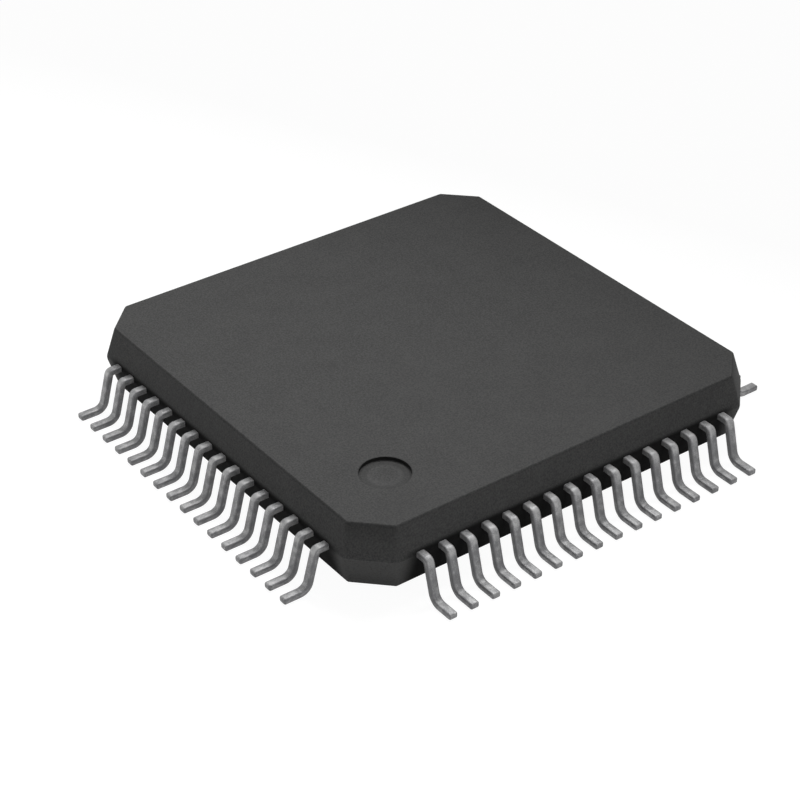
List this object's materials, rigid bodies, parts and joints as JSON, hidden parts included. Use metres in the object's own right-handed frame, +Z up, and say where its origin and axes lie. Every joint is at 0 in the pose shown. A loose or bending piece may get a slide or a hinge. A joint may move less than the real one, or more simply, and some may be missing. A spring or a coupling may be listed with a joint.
{
  "type": "quad flat pack chip",
  "caption": "Thin square chip package: moulded charcoal body with chamfered corners and drafted walls, gull-wing leads along all four sides and a round pin 1 dimple.",
  "frame": {"origin": "middle of the footprint on the seating plane, under the feet of the leads", "axes": "+Z up out of the top face; the pin 1 dimple is at the -X, -Y corner, and pins 1 to 16 run along the -Y side towards +X"},
  "size_m": [0.012, 0.012, 0.0016],
  "materials": {
    "moulding_compound": "matte, fine grain",
    "tin_plated_lead": "satin tin plating",
    "lead_frame": "bare copper alloy",
    "silver_epoxy": "matte",
    "silicon": "polished",
    "gold_wire": "drawn"
  },
  "bodies": {
    "root": {"mould_body": "moulding_compound", "die_pad": "lead_frame", "die_adhesive": "silver_epoxy", "silicon_die": "silicon", "leads_01_04": "tin_plated_lead", "leads_05_08": "tin_plated_lead", "leads_09_12": "tin_plated_lead", "leads_13_16": "tin_plated_lead", "leads_17_20": "tin_plated_lead", "leads_21_24": "tin_plated_lead", "leads_25_28": "tin_plated_lead", "leads_29_32": "tin_plated_lead", "leads_33_36": "tin_plated_lead", "leads_37_40": "tin_plated_lead", "leads_41_44": "tin_plated_lead", "leads_45_48": "tin_plated_lead", "leads_49_52": "tin_plated_lead", "leads_53_56": "tin_plated_lead", "leads_57_60": "tin_plated_lead", "leads_61_64": "tin_plated_lead", "bond_wires_01_04": "gold_wire", "bond_wires_05_08": "gold_wire", "bond_wires_09_12": "gold_wire", "bond_wires_13_16": "gold_wire", "bond_wires_17_20": "gold_wire", "bond_wires_21_24": "gold_wire", "bond_wires_25_28": "gold_wire", "bond_wires_29_32": "gold_wire", "bond_wires_33_36": "gold_wire", "bond_wires_37_40": "gold_wire", "bond_wires_41_44": "gold_wire", "bond_wires_45_48": "gold_wire", "bond_wires_49_52": "gold_wire", "bond_wires_53_56": "gold_wire", "bond_wires_57_60": "gold_wire", "bond_wires_61_64": "gold_wire"}
  },
  "joints": []
}
